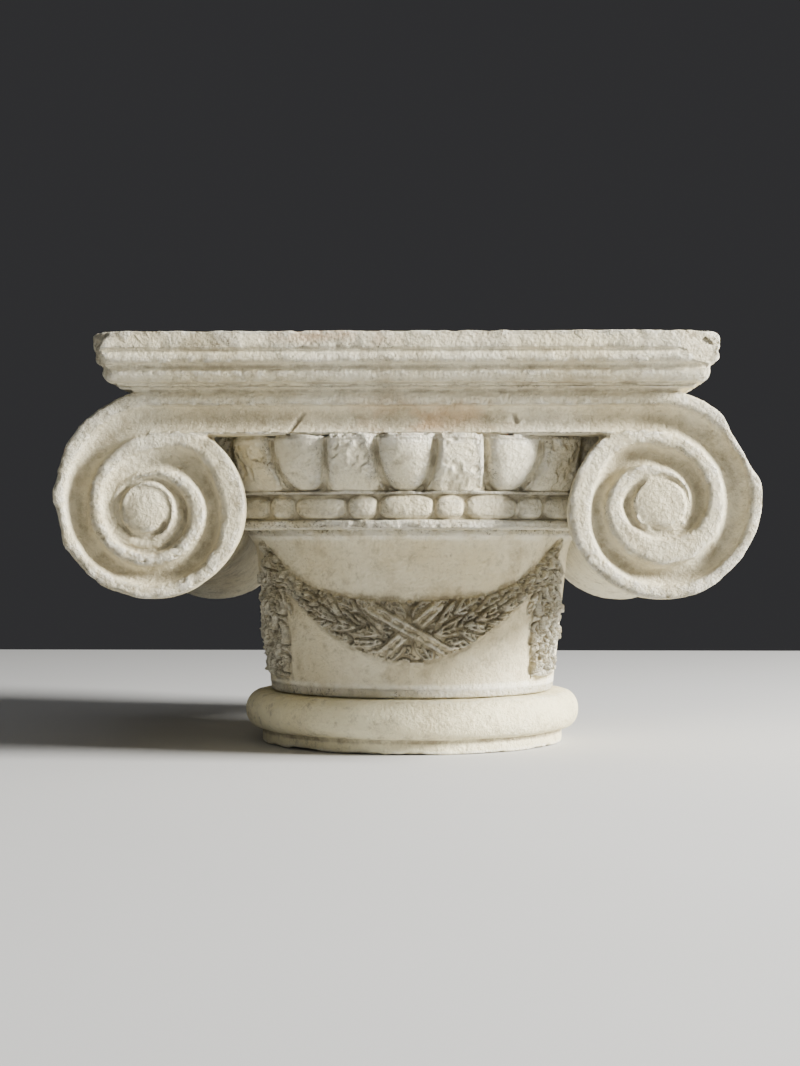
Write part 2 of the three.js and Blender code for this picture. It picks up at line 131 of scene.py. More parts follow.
# How much of a course's fine carving the wear spares
EGGS_SPARED = 0.45
GARLAND_SPARED = 0.85
FOOT_SPARED = 0.95


# Numbers from place

def hashed(ix, iy, iz, seed):
    mixed = (ix * 374761393 + iy * 668265263 + iz * 1103515245 + seed * 1274126177) & 0xFFFFFFFF
    mixed = ((mixed ^ (mixed >> 13)) * 1274126177) & 0xFFFFFFFF
    return ((mixed ^ (mixed >> 16)) & 0xFFFF) / 65535.0


def noise(points, cell, seed):
    """Smooth noise from -1 to 1 at each point, with bumps about a cell wide."""
    scaled = np.asarray(points, dtype=np.float64) / cell + 1000.0
    whole = np.floor(scaled).astype(np.int64)
    part = scaled - whole
    part = part * part * (3 - 2 * part)
    total = np.zeros(len(scaled))
    for corner in range(8):
        step = np.array([corner & 1, (corner >> 1) & 1, corner >> 2])
        share = np.prod(np.where(step == 1, part, 1 - part), axis=1)
        at = whole + step
        total += share * hashed(at[:, 0], at[:, 1], at[:, 2], seed)
    return total * 2 - 1


def fractal(points, cell, octaves, seed):
    total = np.zeros(len(points))
    for octave in range(octaves):
        total += noise(points, cell / 2 ** octave, seed + octave) / 2 ** octave
    return total


def smooth_step(edge_low, edge_high, value):
    t = np.clip((value - edge_low) / (edge_high - edge_low), 0, 1)
    return t * t * (3 - 2 * t)


# Mesh making

def quads_of(rows, columns):
    """Corner numbers of a grid's quads, closed round its columns."""
    row, column = np.meshgrid(np.arange(rows - 1), np.arange(columns), indexing="ij")
    following = (column + 1) % columns
    corners = [row * columns + column, row * columns + following,
               (row + 1) * columns + following, (row + 1) * columns + column]
    return np.stack(corners, axis=-1).reshape(-1, 4)


def closed_grid(rings):
    """A closed skin through rings of points, with a fan at each end."""
    rows, columns, _ = rings.shape
    points = np.concatenate([rings.reshape(-1, 3), [rings[0].mean(axis=0), rings[-1].mean(axis=0)]])
    first = np.arange(columns)
    following = (first + 1) % columns
    last = (rows - 1) * columns
    near = np.stack([np.full(columns, rows * columns), following, first], axis=1)
    far = np.stack([np.full(columns, rows * columns + 1), last + first, last + following], axis=1)
    faces = [tuple(face) for face in quads_of(rows, columns)]
    faces += [tuple(face) for face in near] + [tuple(face) for face in far]
    return points, faces


def object_of(name, parts):
    """One object, in metres, from several closed skins in millimetres."""
    points = []
    faces = []
    for part_points, part_faces in parts:
        start = sum(len(p) for p in points)
        points.append(part_points)
        faces += [tuple(int(k) + start for k in face) for face in part_faces]
    mesh = bpy.data.meshes.new(name)
    mesh.from_pydata((np.concatenate(points) * MM).tolist(), [], faces)
    mesh.validate()
    thing = bpy.data.objects.new(name, mesh)
    bpy.context.scene.collection.objects.link(thing)
    return thing


def outward(thing):
    """Turns each closed skin's faces outward."""
    work = bmesh.new()
    work.from_mesh(thing.data)
    bmesh.ops.recalc_face_normals(work, faces=work.faces)
    work.to_mesh(thing.data)
    work.free()


def apply_modifiers(thing):
    shown = thing.evaluated_get(bpy.context.evaluated_depsgraph_get())
    mesh = bpy.data.meshes.new_from_object(shown)
    thing.modifiers.clear()
    old = thing.data
    thing.data = mesh
    bpy.data.meshes.remove(old)


def turned(profile, sides):
    """Rings of a turned form from its (radius, height) profile."""
    angles = np.linspace(0, 2 * math.pi, sides, endpoint=False)
    circle = np.stack([np.sin(angles), -np.cos(angles), np.zeros(sides)], axis=1)
    rings = [circle * r + [0, 0, z] for r, z in profile]
    return np.array(rings)


def swelling(start, end, bulge, steps=10):
    """An arc of pairs that swells between two corners of a profile."""
    start, end = np.array(start, float), np.array(end, float)
    along = end - start
    out = np.array([along[1], -along[0]]) / np.hypot(*along) * bulge
    shares = np.linspace(0, 1, steps)
    rise = np.sqrt(np.clip(1 - (2 * shares - 1) ** 2, 0, 1))
    return [tuple(start + along * t + out * r) for t, r in zip(shares, rise)]


# Forms of the capital

def abacus():
    top = ABACUS_HALF
    foot = top - ABACUS_OVERHANG
    levels = np.cumsum(ABACUS_COURSES) + ABACUS_FOOT
    profile = [(foot * 0.5, ABACUS_FOOT), (foot, ABACUS_FOOT), (foot, levels[1])]
    profile += swelling((foot + 2.2, levels[1]), (top - 4.2, levels[2]), 1.6)
    profile += [(top - 5, levels[2] + 0.6), (top - 4.6, levels[2] + 2), (top - 3.4, levels[3] - 0.2)]
    profile += swelling((top - 2.2, levels[3]), (top - 1.8, levels[4]), 1.4)
    profile += [(top - 2.6, levels[4] + 0.6), (top, levels[4] + 1.1), (top, TOP), (top * 0.5, TOP)]
    corners = np.array([[1, -1], [1, 1], [-1, 1], [-1, -1]], float)
    rings = [np.column_stack([corners * half, np.full(4, z)]) for half, z in profile]
    return closed_grid(np.array(rings))


def channel_depth(share):
    """Depth of the channel across its width, from its upper edge at 0 to its lower at 1."""
    return GROOVE_DEPTH * np.sin(math.pi * np.clip(share, 0, 1)) ** 0.55


def canalis():
    """The band with its roll and channel, alike on the front and the back."""
    face = [(0.0, ABACUS_FOOT + 2)]
    face += [(0.0, ABACUS_FOOT)]
    for share in np.linspace(0, 1, 12):
        roll = 1.5 * (1 - math.sqrt(1 - (2 * share - 1) ** 2))
        face.append((roll, ABACUS_FOOT - share * ROLL_HEIGHT))
    for share in np.linspace(0, 1, 16):
        face.append((0.8 + float(channel_depth(share)), ROLL_FOOT - share * CHANNEL_HEIGHT))
    face.append((3.0, CHANNEL_FOOT - 0.8))
    outline = [(-FACE + depth, z) for depth, z in face] + [(FACE - depth, z) for depth, z in reversed(face)]
    rings = [[(x, y, z) for y, z in outline] for x in (-VOLUTE_X - 1.5, VOLUTE_X + 1.5)]
    return closed_grid(np.array(rings))


def spiral_radius(turns):
    return np.interp(turns * 8, np.arange(len(SPIRAL_RADII)), SPIRAL_RADII)


def rim_width(turns, foot_widening):
    plain = ROLL_HEIGHT + (RIM_WIDTH - ROLL_HEIGHT) * np.clip(turns * 4, 0, 1)
    worn = WORN_RIM * np.exp(-((turns - 0.78) / 0.13) ** 2)
    return plain + worn + foot_widening * np.exp(-((turns - 1.5) / 0.22) ** 2)


def off_centre(turn, radius, shift):
    """The turn and radius about an eye that lies off the spiral's centre, near the eye alone."""
    share = smooth_step(40, 14, radius)
    aside = radius * np.sin(turn * 2 * math.pi) - shift[0] * share
    up = radius * np.cos(turn * 2 * math.pi) - shift[1] * share
    return np.arctan2(aside, up) / (2 * math.pi) % 1, np.hypot(aside, up)


def volute_depth(turn, radius, look):
    """How deep the carved face lies behind the volute's front plane."""
    turn, radius = off_centre(turn, radius, look["eye_shift"])
    eye_edge = look["eye_radius"] + 1.0
    core = GROOVE_DEPTH * look["core_depth"] + 0.7
    depth = np.where(radius > spiral_radius(turn), GROOVE_DEPTH + 1.5, core)
    for lap in (0, 1, 2):
        turns = turn + lap
        outer = spiral_radius(turns)
        inner = outer - rim_width(turns, look["foot_widening"])
        following = np.maximum(np.where(turns + 1 < 2.3, spiral_radius(turns + 1), 0), eye_edge)
        room = inner - following
        shut = room < 1.5
        inner = np.where(shut, following, inner)
        room = np.maximum(room, 0.01)
        across = np.clip((outer - radius) / np.maximum(outer - inner, 0.01), 0, 1)
        rim = 0.2 + 1.2 * np.abs(2 * across - 1) ** 3.5
        inside_rim = (radius <= outer) & (radius > inner)
        depth = np.where(inside_rim, rim, depth)
        share = (inner - radius) / room
        shallower = 1 - (1 - look["core_depth"]) * smooth_step(0.8, 1.2, turns)
        deep = channel_depth(share) * np.clip(room / 8, 0.35, 1) * shallower
        in_channel = (radius <= inner) & (radius > following) & ~shut
        depth = np.where(in_channel, 0.7 + deep, depth)
    share = np.clip(radius / eye_edge, 0, 1)
    dome = look["eye_dome"][0] + look["eye_dome"][1] * share ** 2.5
    depth = np.where(radius <= eye_edge, dome, depth)
    for lap in (1, 2):
        turns = turn + lap
        places, radii = look["line"]
        line = np.exp(-((radius - np.interp(turns, places, radii)) / look["line_width"]) ** 2)
        there = smooth_step(places[0], places[0] + 0.2, turns)
        there = there * smooth_step(places[-1], places[-1] - 0.05, turns)
        depth = depth + look["line_depth"] * line * there
    return depth


# Each volute's eye, how deep its core is against the channel, how much wider the rim is at the foot of
# its second lap, and the cut line that winds in towards the eye, as turns and radii
LEFT_VOLUTE = {
    "eye_radius": 10.6,
    "eye_shift": (2.0, -3.2),
    "eye_dome": (0.2, 1.4),
    "core_depth": 0.42,
    "foot_widening": 1.5,
    "line": ((1.3, 1.5, 1.75, 2.0, 2.25, 2.5, 2.68), (22.0, 20.4, 18.0, 14.8, 14.2, 12.4, 10.2)),
    "line_width": 1.5,
    "line_depth": 3.2,
}
RIGHT_VOLUTE = {
    "eye_radius": 12.2,
    "eye_shift": (0.0, -0.8),
    "eye_dome": (-0.1, 1.5),
    "core_depth": 0.85,
    "foot_widening": 6.5,
    "line": ((1.9, 2.0, 2.2, 2.45, 2.6), (14.0, 13.4, 13.0, 12.6, 11.5)),
    "line_width": 1.1,
    "line_depth": 1.8,
}
PLAIN_VOLUTE = {
    "eye_radius": 10.6,
    "eye_shift": (0.0, 0.0),
    "eye_dome": (0.6, 1.2),
    "core_depth": 0.7,
    "foot_widening": 0.0,
    "line": ((1.9, 2.0, 2.5), (12.6, 12.4, 12.0)),
    "line_width": 1.0,
    "line_depth": 1.0,
}

# Chips out of the front rims: turn, width in turns, depth
LEFT_CHIPS = [(0.195, 0.028, 1.5), (0.28, 0.03, 1.9), (0.37, 0.05, 0.9), (0.45, 0.02, 0.7), (0.62, 0.05, 1.0)]
RIGHT_CHIPS = [(0.155, 0.05, 4.0), (0.35, 0.06, 0.9), (0.8, 0.06, 1.0)]


def bolster_scale(y):
    away = np.abs(y)
    share = np.clip((away - BELT_HALF) / (FACE - VOLUTE_PLATE - BELT_HALF), 0, 1)
    plain = BOLSTER_WAIST + (1 - BOLSTER_WAIST) * share ** 2.2
    belt = smooth_step(BELT_HALF, BELT_HALF - 1.5, away)
    groove = np.exp(-((away - BELT_HALF * 0.55) / 1.3) ** 2)
    lip = 0.012 * np.exp(-((away - (FACE - VOLUTE_PLATE)) / 2.0) ** 2)
    return plain + BELT_RISE * belt - 0.03 * groove * belt - lip


def volute_z(y):
    return CHANNEL_FOOT - spiral_radius(1.0) - BACK_VOLUTE_DROP * (y / (2 * FACE) + 0.5)


def volute(side, look, rim_chips):
    """A front volute, its bolster and the back volute behind it, as one skin.
    look is the front face's own, and rim_chips the chips out of its rim."""
    rays = 260
    turn = np.linspace(0, 0.995, rays)
    chord = np.interp(turn, [0.875, 1.0], [spiral_radius(0.875), spiral_radius(0.0)])
    outline = np.where(turn < 0.875, spiral_radius(turn), chord)
    worn = np.zeros(rays)
    for at, width, deep in rim_chips:
        worn += deep * np.exp(-((turn - at) / width) ** 4)
    angle = turn * 2 * math.pi

    def ring(radius, y, depth=0.0):
        x = side * (VOLUTE_X + radius * np.sin(angle))
        return np.stack([x, np.broadcast_to(y + depth, rays), volute_z(y) + radius * np.cos(angle)], axis=1)

    rings = []
    for share in np.linspace(0.02, 1, 80):
        radius = share * (outline - worn)
        rings.append(ring(radius, -FACE, volute_depth(turn, radius, look)))
    for y in np.linspace(-FACE + 2, FACE - 2, 90):
        keep = smooth_step(-FACE + 30, -FACE + 8, np.full(rays, y))
        inset = np.clip(y, -FACE + 9, FACE - 9) - y
        rings.append(ring(outline * bolster_scale(y) - worn * keep, y, np.where(turn > 0.875, inset, 0)))
    for share in np.linspace(1, 0.02, 80):
        radius = share * outline
        rings.append(ring(radius, FACE, -volute_depth(turn, radius, PLAIN_VOLUTE)))
    return closed_grid(np.array(rings))


def curved_slab(angle_line, height_line, outer, inner):
    """A slab bent round the axis, from an inner radius out to a carved surface."""
    angles, heights = np.meshgrid(angle_line, height_line, indexing="ij")
    foot, head = [heights[:, [k]] for k in (0, -1)]
    radius = np.concatenate([outer, np.full((len(angle_line), 2), inner)], axis=1)
    angles = np.concatenate([angles, angles[:, :2]], axis=1)
    heights = np.concatenate([heights, head, foot], axis=1)
    return closed_grid(round_the_axis(angles, heights, radius))


def round_the_axis(angles, heights, radius):
    turn = np.radians(angles)
    return np.stack([radius * np.sin(turn), -radius * np.cos(turn), heights], axis=-1)


def bead_radius(angles, heights):
    """Long and short beads by turns, worn low and nearly touching."""
    up = (heights - ASTRAGAL_FOOT - ASTRAGAL_HEIGHT / 2) / (ASTRAGAL_HEIGHT / 2)
    bulge = np.zeros(angles.shape)
    for k in range(-5, 6):
        half, roundness = (LONG_BEAD, 2.7) if k % 2 == 0 else (SHORT_BEAD, 2.1)
        along = np.radians(angles - k * BEAD_PITCH / 2) * (ASTRAGAL_RADIUS + 3) / half
        bulge = np.maximum(bulge, 1 - np.abs(along) ** roundness - np.abs(up * 0.98) ** 2.3)
    return ASTRAGAL_RADIUS + 0.4 + BEAD_RELIEF * np.clip(bulge, 0, 1) ** 0.5


def egg_radius(angles, heights):
    """Eggs cut flush with the channel. Between two of them the shells and the dart are worn to one lump."""
    down = np.clip(CHANNEL_FOOT - heights, 0, None)
    rise = np.clip(1 - down / OVOLO_HEIGHT, 0, 1)
    ovolo = OVOLO_FOOT_RADIUS + (OVOLO_TOP_RADIUS - OVOLO_FOOT_RADIUS) * np.sin(rise * math.pi / 2) ** 0.9
    arc = np.radians((angles + EGG_PITCH / 2) % EGG_PITCH - EGG_PITCH / 2) * OVOLO_TOP_RADIUS
    reach = (np.abs(arc / EGG_HALF) ** 2.3 + (down / EGG_DROP) ** 2.5) ** (1 / 2.4)
    off = (reach - 1) * EGG_HALF
    egg = -2.8 + 5.8 * np.clip(1 - reach ** 2.0, 0, 1) ** 0.5
    groove = -3.8 * np.exp(-((off - 1.3) / 1.3) ** 2)
    from_dart = np.abs(np.abs(arc) - math.radians(EGG_PITCH / 2) * OVOLO_TOP_RADIUS)
    lump = 2.9 * np.clip(1 - (from_dart / 13.0) ** 2.6, 0, 1) ** 0.5 - 0.9
    lump -= 1.8 * smooth_step(0.55, 1.0, down / OVOLO_HEIGHT)
    along = np.radians(angles).ravel() * OVOLO_TOP_RADIUS
    place = np.stack([along, np.zeros(angles.size), heights.ravel()], axis=1)
    outside = lump - 0.9 * np.clip(fractal(place, 7.5, 3, SEED + 80) + 0.1, 0, 1.2).reshape(angles.shape)
    carved = np.where(off < 0.3, egg, groove + outside)
    lip = smooth_step(0.06, 0.04, rise)
    return ovolo + carved + (0.4 - carved) * lip


def echinus_slab(turn):
    """The carved course between the volutes, as a slab at a turn round the axis."""
    angle_line = np.linspace(-47, 47, 380 // COARSER)
    height_line = np.linspace(SOFFIT, CHANNEL_FOOT + 0.6, 92 // COARSER)
    angles, heights = np.meshgrid(angle_line, height_line, indexing="ij")
    fillet = FILLET_RADIUS + 0.8 - 1.2 * np.exp(-((heights - SOFFIT) / 0.8) ** 2)
    outer = np.where(heights > ASTRAGAL_FOOT, bead_radius(angles, heights), fillet)
    outer = np.where(heights > OVOLO_FOOT, egg_radius(angles, heights), outer)
    outer = outer - 1.6 * smooth_step(height_line[-1] - 1.8, height_line[-1], heights) ** 2
    return curved_slab(angle_line + turn, height_line, outer, 40.0)


def drum():
    """The plain round body behind the eggs that the bolsters close off."""
    outer = FILLET_RADIUS - 4
    top = CHANNEL_FOOT + 1
    rings = turned([(60, SOFFIT + 0.3), (outer, SOFFIT + 0.3), (outer, top), (60, top)], 180)
    rings[:, :, 0] = np.clip(rings[:, :, 0], -DRUM_HALF_WIDTH, DRUM_HALF_WIDTH)
    return closed_grid(rings)


# Garland carving on the neck, as a relief over angle and height

def neck_radius(heights):
    flare = SOFFIT - NECK_FLARE_HEIGHT
    plain = NECK_FOOT_RADIUS + (NECK_HEAD_RADIUS - NECK_FOOT_RADIUS) * (heights - BED) / (flare - BED)
    return plain + NECK_FLARE * np.clip((heights - flare) / NECK_FLARE_HEIGHT, 0, 1) ** 2.6


def swag_middle(angles):
    """Height of the swag's middle line at an angle from the front."""
    return SWAG_HANG + (SWAG_TIE - SWAG_HANG) * (angles / SWAG_HALF_ANGLE) ** 2


class Relief:
    """A height over the neck's surface. Places are arc length and height, in millimetres."""

    def __init__(self, angles, heights, ridge):
        self.arc = np.radians(angles) * GARLAND_RADIUS
        self.angles = angles
        self.heights = heights
        self.ridge = ridge
        self.body = np.zeros(angles.shape)
        self.cut = np.zeros(angles.shape)

    def local(self, arc, height, slope, length, width):
        """Shares of a half length and a half width from a place, turned by a slope."""
        dx, dz = self.arc - arc, self.heights - height
        u = (dx * math.cos(slope) + dz * math.sin(slope)) / (length / 2)
        v = (dz * math.cos(slope) - dx * math.sin(slope)) / (width / 2)
        return u, v

    def raise_body(self, across, half_width, rise):
        inside = np.clip(1 - (across / np.maximum(half_width, 0.1)) ** 2, 0, 1)
        self.body = np.maximum(self.body, rise * inside ** 0.5)

    def leaf(self, arc, height, slope, length, width, lift):
        """A pointed leaf with raised edges, a midrib and side veins, over a deep recess."""
        u, v = self.local(arc, height, slope, length, width)
        half = np.clip(1 - np.abs(u) ** 2.0, 0, 1) ** 0.8 * (1 - 0.25 * u)
        across = np.abs(v) / np.maximum(half, 0.02)
        apron = (np.abs(u) < 1.15) & (np.abs(v) < half + 0.42)
        self.cut = np.where(apron, np.minimum(self.cut, -3.2), self.cut)
        inside = (np.abs(u) < 1) & (across < 1)
        self.body = np.where(inside & (self.body > 0.2), np.maximum(self.body, 3.2), self.body)
        off_edge = (1 - across) * half * width / 2
        edge = np.exp(-((off_edge - self.ridge) / self.ridge) ** 2)
        rib = np.exp(-(v * width / 2 / self.ridge) ** 2)
        place = (u * length / 2 + np.abs(v) * width * 0.55) / 3.4
        vein = np.exp(-((place - np.round(place)) * 3.4 / self.ridge) ** 2)
        ridges = np.maximum(np.maximum(edge, rib), 0.75 * vein)
        blade = lift * (0.1 + 0.7 * u) - 2.1 + 2.7 * ridges
        self.cut = np.where(inside, blade, self.cut)

    def ribbon(self, arc, height, slope, length, width, rise):
        """A flat band with two raised edges."""
        u, v = self.local(arc, height, slope, length, width)
        ends = smooth_step(1.0, 0.6, np.abs(u))
        inside = smooth_step(1.1, 0.9, np.abs(v)) * ends
        around = smooth_step(1.9, 1.3, np.abs(v)) * ends
        self.cut = self.cut + (np.minimum(self.cut, -2.2) - self.cut) * around
        band = rise + 0.9 * np.exp(-((np.abs(v) - 0.7) / 0.3) ** 2) - 1.0 * np.exp(-(v / 0.4) ** 2)
        self.cut = self.cut + (band - self.cut) * inside

    def band(self, arc, height, slope, length, width, rise):
        """A smooth band that lies on the plain ground."""
        u, v = self.local(arc, height, slope, length, width)
        inside = np.clip(1 - np.abs(u) ** 4 - v ** 2, 0, 1)
        self.body = np.maximum(self.body, rise * inside ** 0.5)

    def drill(self, arc, height, radius, deep):
        away = np.hypot(self.arc - arc, self.heights - height) / radius
        self.cut = self.cut - deep * np.exp(-away ** 4)

    def crumble(self, seed):
        """Small losses all over the carved leaves."""
        flat = np.stack([self.arc.ravel(), np.zeros(self.arc.size), self.heights.ravel()], axis=1)
        losses = np.clip(fractal(flat, 3.6, 3, seed) + 0.05, -0.4, 1).reshape(self.arc.shape)
        self.cut = self.cut - 1.9 * losses

    def height(self):
        return self.body + self.cut * smooth_step(0.3, 1.6, self.body)

    def depth(self):
        """How far each place lies below the garland's own surface."""
        return -self.cut * smooth_step(0.2, 1.0, self.body)


def swag_width(degrees):
    fade = np.exp(-(np.abs(degrees) / SWAG_TAPER_ANGLE) ** 2.4)
    return SWAG_END_WIDTH + (SWAG_WIDTH - SWAG_END_WIDTH) * fade


def swag_climb(degrees):
    """How steeply the swag's middle line rises, as height over arc length."""
    return 2 * (SWAG_TIE - SWAG_HANG) * degrees / SWAG_HALF_ANGLE ** 2 / math.radians(GARLAND_RADIUS)


def draw_swag(relief, random, leaf_size):
    """A laurel swag from tie to tie, its leaves lapping towards a bound middle."""
    climb = swag_climb(relief.angles)
    across = (relief.heights - swag_middle(relief.angles)) / np.sqrt(1 + climb ** 2)
    share = np.clip(np.abs(relief.angles) / SWAG_HALF_ANGLE, 0, 1)
    ends = smooth_step(1.0, 0.93, np.abs(relief.angles) / SWAG_HALF_ANGLE)
    rise = SWAG_RELIEF * (1 - 0.35 * share ** 2) * ends
    relief.raise_body(across, 0.47 * swag_width(relief.angles), rise)
    tiers = 9
    for tier in range(tiers):
        at = 3 + (SWAG_HALF_ANGLE - 6) * tier / (tiers - 1)
        grow = (0.35 + 0.65 * swag_width(at) / SWAG_WIDTH) * leaf_size
        width = swag_width(at)
        slope = math.atan(swag_climb(at))
        for hand in (-1, 1):
            for row in (-1.25, 1.25, -0.42, 0.42) if tier % 2 else (-0.95, 0.95, 0.0):
                off = row * width * 0.29
                along = math.radians(at + random.uniform(-1, 1)) * GARLAND_RADIUS
                arc = hand * (along + off * math.sin(slope) * 0.9)
                height = swag_middle(at) - off * math.cos(slope)
                lie = math.pi + slope if hand > 0 else -slope
                splay = hand * row * 0.2 + random.uniform(-0.3, 0.3)
                length = 26 * grow * random.uniform(0.8, 1.2)
                width_here = 9.2 * grow * random.uniform(0.8, 1.15)
                relief.leaf(arc, height, lie - splay, length, width_here, random.uniform(0.5, 1.5))
    for _ in range(90):
        at = random.uniform(-52, 52)
        off = random.uniform(-0.42, 0.42) * swag_width(at)
        arc = math.radians(at) * GARLAND_RADIUS
        relief.drill(arc, swag_middle(at) + off, random.uniform(0.6, 1.1), random.uniform(1.0, 2.6))


def draw_drop(relief, hand, random, leaf_size):
    """A hanging cluster of pointed leaves below the tie."""
    share = np.clip((relief.heights - DROP_FOOT) / (DROP_HEAD - DROP_FOOT), 0, 1)
    full = 0.3 + 0.7 * np.sin(math.pi * np.clip(0.22 + share * 0.7, 0, 1))
    foot = smooth_step(DROP_FOOT - 1, DROP_FOOT + 2, relief.heights)
    head = smooth_step(DROP_HEAD + 3, DROP_HEAD - 4, relief.heights)
    middle = hand * math.radians(DROP_ANGLE) * GARLAND_RADIUS
    relief.raise_body(relief.arc - middle, 0.5 * DROP_WIDTH * full, DROP_RELIEF * full * foot * head)
    tiers = 7
    for tier in range(tiers):
        height = DROP_FOOT + 9 + (DROP_HEAD - DROP_FOOT - 16) * tier / (tiers - 1)
        spread = 0.2 * DROP_WIDTH * (0.35 + 0.65 * math.sin(math.pi * (0.25 + 0.65 * tier / (tiers - 1))))
        for column in (-0.9, 0.9) if tier % 2 else (-1.7, 1.7, 0):
            arc = middle + column * spread
            slope = -math.pi / 2 + column * 0.3 + random.uniform(-0.12, 0.12)
            relief.leaf(arc, height, slope, 14.5 * leaf_size, 8.2 * leaf_size, random.uniform(0.7, 1.3))


def draw_ties(relief, hand):
    """The smooth band that flutters down from each tie, between swag and drop."""
    for at, height, lean, length, width in ((63, 101, 1.2, 18, 7), (54, 83, 1.05, 30, 6)):
        slope = lean if hand > 0 else math.pi - lean
        relief.band(hand * math.radians(at) * GARLAND_RADIUS, height, slope, length, width, 2.6)


def neck_side(angles, heights, front):
    """Relief of the front or of the back half, over angles from its middle."""
    random = np.random.default_rng(SEED)
    relief = Relief(angles, heights, 0.55 if front else 1.1)
    for hand in (-1, 1):
        draw_drop(relief, hand, random, 1.0 if front else 1.3)
    draw_swag(relief, random, 1.0 if front else 1.3)
    if front:
        for arc, height, slope in ((-7, 53.5, -2.1), (8, 53.5, -1.0), (-6, 73, 2.1), (7, 73, 1.0)):
            relief.leaf(arc, height, slope, 15, 8, 1.0)
        for slope, length in ((0.72, 46), (-0.53, 60)):
            relief.ribbon(1, 63.5, slope, length, 5.4, 0.5)
        shade = np.exp(-((relief.arc - 32) / 14) ** 2)
        edge = relief.heights - swag_middle(relief.angles) - 0.5 * SWAG_WIDTH + 3
        relief.body -= 1.6 * shade * np.exp(-((edge - 3.5) / 3.0) ** 2) * (relief.body <= 0)
    relief.crumble(SEED + 70)
    for hand in (-1, 1):
        draw_ties(relief, hand)
    return relief


def neck():
    """The neck with its garlands. Gives the skin, and how deep and how raised the carving is."""
    front_line = np.linspace(-95, 95, 560 // COARSER, endpoint=False)
    back_line = np.linspace(95, 265, 150 // COARSER, endpoint=False)
    height_line = np.linspace(BED, SOFFIT + 2, 134 // COARSER)
    angle_line = np.concatenate([front_line, back_line])
    heights, angles = np.meshgrid(height_line, angle_line, indexing="ij")
    split = len(front_line)
    front = neck_side(angles[:, :split], heights[:, :split], True)
    back = neck_side(angles[:, split:] - 180, heights[:, split:], False)
    raised = np.concatenate([front.height(), back.height()], axis=1)
    depth = np.concatenate([front.depth(), back.depth()], axis=1)
    garland = smooth_step(0.1, 0.8, np.concatenate([front.body, back.body], axis=1))
    radius = neck_radius(heights) + raised
    radius -= 0.5 * smooth_step(BED + 1.0, BED + 0.1, heights)
    rings = round_the_axis(angles, heights, radius)
    ends = np.zeros(2)
    return closed_grid(rings), np.append(depth.ravel(), ends), np.append(garland.ravel(), ends)


# Wear

def neighbours_of(mesh):
    pairs = np.empty(len(mesh.edges) * 2, dtype=np.int64)
    mesh.edges.foreach_get("vertices", pairs)
    return pairs.reshape(-1, 2)


def smoothed(points, pairs, passes, share=0.5):
    count = len(points)
    ends = np.concatenate([pairs[:, 0], pairs[:, 1]])
    others = np.concatenate([pairs[:, 1], pairs[:, 0]])
    degree = np.maximum(np.bincount(ends, minlength=count), 1)
    for _ in range(passes):
        sums = [np.bincount(ends, weights=points[others, k], minlength=count) for k in range(3)]
        mean = np.stack(sums, axis=1) / degree[:, None]
        points = points + share * (mean - points)
    return points


def points_of(mesh):
    flat = np.empty(len(mesh.vertices) * 3)
    mesh.vertices.foreach_get("co", flat)
    return flat.reshape(-1, 3) / MM


def set_points(mesh, points):
    mesh.vertices.foreach_set("co", (points * MM).ravel())
    mesh.update()


def normals_of(mesh):
    flat = np.empty(len(mesh.vertices) * 3)
    mesh.vertex_normals.foreach_get("vector", flat)
    return flat.reshape(-1, 3)


def broken(points, at, normal, rough, seed):
    """Flattens what stands beyond a break, and roughens it. Gives the points and how broken each is."""
    normal = np.array(normal, float) / np.linalg.norm(normal)
    beyond = (points - np.array(at)) @ normal
    beyond = beyond + rough * fractal(points, 9.0, 3, seed)
    over = np.clip(beyond, 0, None) * smooth_step(ABACUS_FOOT - 0.5, ABACUS_FOOT + 1.5, points[:, 2])
    return points - over[:, None] * normal, smooth_step(0.0, 0.6, over)


BREAKS = [
    # front right corner of the abacus, and what it leaves further down
    ((142.5, -146, 205), (0.45, -0.3, 0.84), 1.2),
    ((148.5, -147.5, 196), (0.8, -0.6, 0.05), 2.2),
    ((145, -143.5, 199), (0.3, -0.95, 0.15), 1.4),
    ((144.5, -145, 191.5), (0.72, -0.42, -0.56), 2.0),
    # front left corner
    ((-142, -145, 205.5), (-0.35, -0.35, 0.8), 1.2),
    ((-145.5, -146, 200), (-0.75, -0.6, 0.15), 2.2),
    ((-146.5, -145, 196), (-0.9, -0.3, -0.1), 1.6),
    ((-141.5, -142.5, 188), (-0.8, -0.6, -0.35), 1.4),
    # back corners
    ((-143, 144, 205), (-0.5, 0.5, 0.6), 1.0),
    ((144, 145, 204), (0.6, 0.5, 0.5), 1.0),
]

# Cracks and holes as a run from one place to another: x and z on a side, radius and depth
MARKS = [
    ((-48.8, 169.4), (-52.5, 165.0), 0.7, 1.4),
    ((-52.5, 165.0), (-56.4, 159.8), 0.8, 1.2),
    ((52, 168.5), (53, 165.5), 1.0, 1.6),
    ((-61.4, 115.4), (-61.4, 114.9), 1.1, 3.0),
]


def marked(points):
    """How deep the front's cracks and holes go at each point."""
    depth = np.zeros(len(points))
    place = points[:, [0, 2]]
    for start, end, radius, deep in MARKS:
        start, end = np.array(start), np.array(end)
        along = np.clip((place - start) @ (end - start) / max((end - start) @ (end - start), 1e-6), 0, 1)
        away = np.linalg.norm(place - start - along[:, None] * (end - start), axis=1)
        depth = np.maximum(depth, deep * np.exp(-(away / radius) ** 2))
    return depth * smooth_step(-100, -110, points[:, 1])


